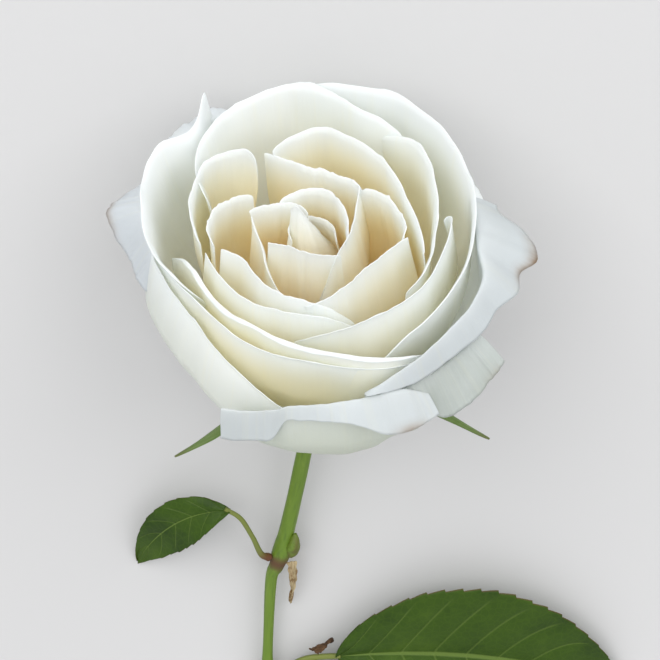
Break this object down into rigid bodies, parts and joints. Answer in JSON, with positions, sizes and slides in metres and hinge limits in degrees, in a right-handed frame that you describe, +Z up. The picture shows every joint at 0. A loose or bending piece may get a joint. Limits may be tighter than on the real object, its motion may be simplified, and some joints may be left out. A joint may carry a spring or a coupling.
{
  "type": "preserved rose",
  "caption": "Open white rose bloom on a short cut stem with a bent neck, sepals, a small hanging leaf and a compound leaf, lying on its back petals and cut end.",
  "frame": {"origin": "middle of the bounding box, on the table", "axes": "+Z up from the table, +Y along the lying stem from the cut end to the bloom, +X towards the large leaf"},
  "size_m": [0.1624, 0.3, 0.0994],
  "materials": {
    "petals": "soft matt, thin, slightly see-through at the rims",
    "sepals": "matt",
    "stem": "smooth satin",
    "leaf_small": "satin above, matt below",
    "leaf_large": "satin above, matt below",
    "dry_strip": "dry, papery",
    "dry_stub": "dry, papery"
  },
  "bodies": {
    "root": {"bloom": "petals", "calyx": "sepals", "stem": "stem", "leaf_upper": "leaf_small", "leaf_lower": "leaf_large", "stipule_dry": "dry_strip", "leaflet_stub": "dry_stub"}
  },
  "joints": []
}
